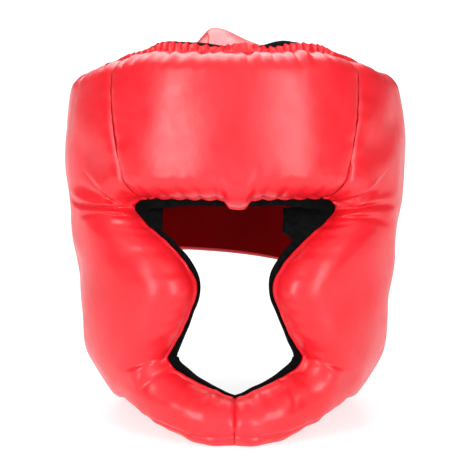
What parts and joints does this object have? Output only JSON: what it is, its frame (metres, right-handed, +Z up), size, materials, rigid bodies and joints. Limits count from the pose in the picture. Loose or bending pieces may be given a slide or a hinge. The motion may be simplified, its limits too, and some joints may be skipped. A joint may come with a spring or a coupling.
{
  "type": "boxing head guard",
  "caption": "Padded full-face sparring head guard in red leather with a T-shaped face opening, open crown cross and hook-and-loop rear closure.",
  "frame": {"origin": "on the floor under the middle of the guard's bounding box, as it rests leaning back", "axes": "+Z up, the face opening towards -Y, the wearer's left towards +X"},
  "size_m": [0.2138, 0.2454, 0.2438],
  "materials": {
    "red_leather": "smooth semi-gloss synthetic leather",
    "loop_pile": "matte loop pile",
    "black_lining": "matte woven lining"
  },
  "bodies": {
    "root": {"forehead_pad": "red_leather", "cheek_pad_left": "red_leather", "cheek_pad_right": "red_leather", "ear_panel_left": "red_leather", "ear_panel_right": "red_leather", "rear_wing_left": "red_leather", "rear_wing_right": "red_leather", "rear_band": "red_leather", "loop_patch": "loop_pile", "closing_flap": "red_leather", "crown_cross": "red_leather", "crown_lining": "black_lining", "rim_facing": "black_lining", "top_edge_gather": "red_leather"}
  },
  "joints": []
}
